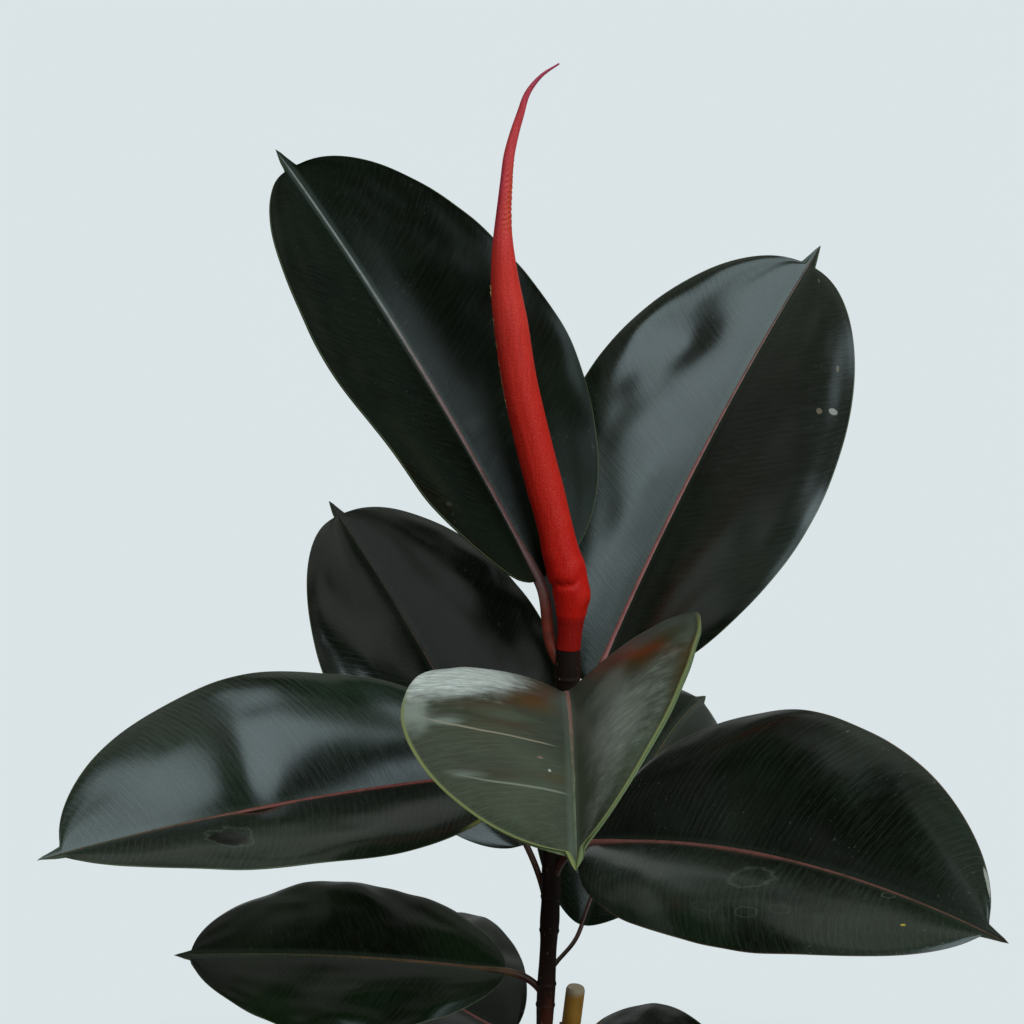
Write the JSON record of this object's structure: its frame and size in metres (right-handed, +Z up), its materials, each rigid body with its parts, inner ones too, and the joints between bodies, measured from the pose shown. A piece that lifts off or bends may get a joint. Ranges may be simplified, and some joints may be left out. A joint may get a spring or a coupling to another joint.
{
  "type": "potted rubber plant",
  "caption": "Young rubber plant with glossy near-black leaves and a long red bud sheath, tied to a cane stake in a plain round clay pot with drain holes.",
  "frame": {"origin": "centre of the pot's flat underside", "axes": "+Z up along the pot, +X to the viewer's right, -Y towards the viewer"},
  "size_m": [0.4404, 0.4759, 0.9018],
  "materials": {
    "fired_clay": "unglazed fired clay, matt, faint mineral bloom",
    "potting_soil": "loose crumbly potting mix, matt",
    "stem_bark": "young bark, satin, dark red-brown with leaf scars",
    "red_sheath": "thin leafy sheath, satin, finely wrinkled",
    "bamboo_cane": "dry cane, satin, cut ends matt",
    "soft_twine": "twisted jute twine, matt",
    "dark_leaf": "waxy leaf, glossy, near-black green with a dusty red midrib",
    "olive_leaf": "younger waxy leaf, satin gloss, olive green with bronze patches"
  },
  "bodies": {
    "root": {"pot": "fired_clay", "soil": "potting_soil", "stem": "stem_bark", "bud_sheath": "red_sheath", "stake": "bamboo_cane", "tie": "soft_twine", "leaf_upper_left": "dark_leaf", "leaf_front": "olive_leaf", "leaf_upper_right": "dark_leaf", "leaf_left": "dark_leaf", "leaf_right": "dark_leaf", "leaf_back_left": "dark_leaf", "leaf_back_right": "dark_leaf", "leaf_low_left": "dark_leaf", "leaf_low_back": "dark_leaf", "leaf_low_right": "dark_leaf", "leaf_bottom_left": "dark_leaf", "leaf_bottom_right": "dark_leaf", "leaf_bottom_back": "dark_leaf"}
  },
  "joints": []
}
